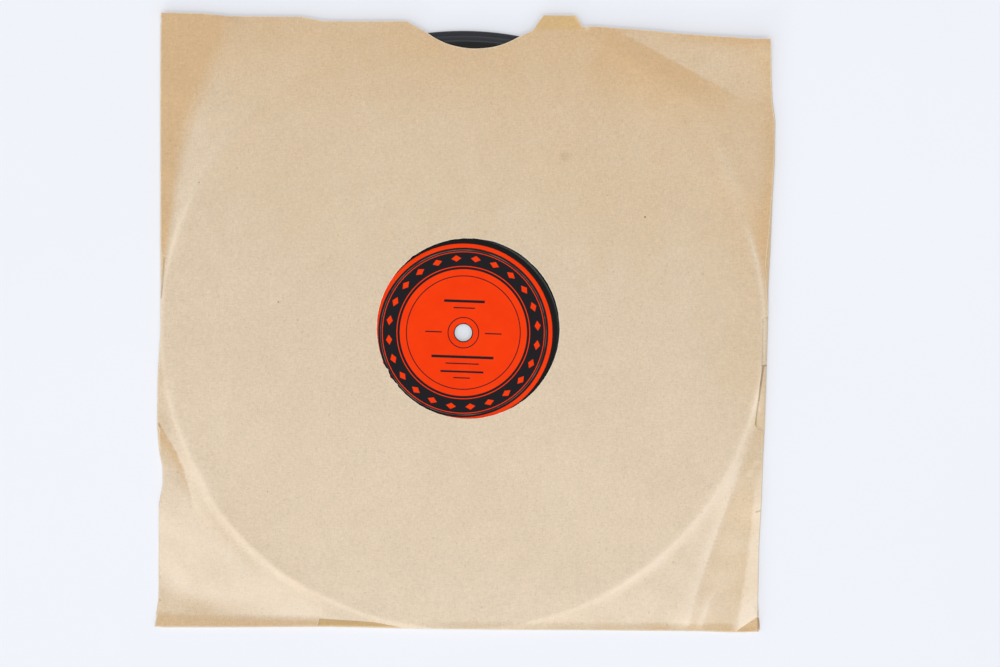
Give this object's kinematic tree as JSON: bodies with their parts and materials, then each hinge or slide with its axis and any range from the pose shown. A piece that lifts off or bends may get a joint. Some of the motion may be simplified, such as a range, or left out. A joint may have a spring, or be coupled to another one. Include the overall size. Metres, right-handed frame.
{
  "type": "shellac record in paper sleeve",
  "caption": "Ten-inch shellac gramophone disc with printed paper labels, in a worn kraft paper sleeve with round label windows and a thumb notch; the disc slides out of the mouth.",
  "frame": {"origin": "centre of the spindle hole, halfway through the disc's thickness, with the disc in the sleeve", "axes": "+Z out of side A, the face seen in the front panel's window; +Y out of the sleeve's mouth, the way the disc slides out; +X to the right when looking at side A with the mouth up"},
  "size_m": [0.255, 0.2588, 0.0034],
  "materials": {
    "shellac": "gloss",
    "label": "satin",
    "kraft": "matte",
    "kraft_inside": "matte",
    "glue": "satin"
  },
  "bodies": {
    "sleeve": {"back_panel": "kraft", "left_fold": "kraft", "right_fold": "kraft", "bottom_fold": "kraft", "left_flap": "kraft_inside", "right_flap": "kraft_inside", "bottom_flap": "kraft_inside", "left_glue_line": "glue", "right_glue_line": "glue", "bottom_glue_line": "glue", "front_panel": "kraft"},
    "record": {"shellac_disc": "shellac", "side_a_label": "label", "side_b_label": "label"}
  },
  "joints": [
    {"name": "record_slide", "type": "slide", "parent": "sleeve", "child": "record", "axis": [0, 1, 0], "range_m": [0, 0.265]}
  ]
}
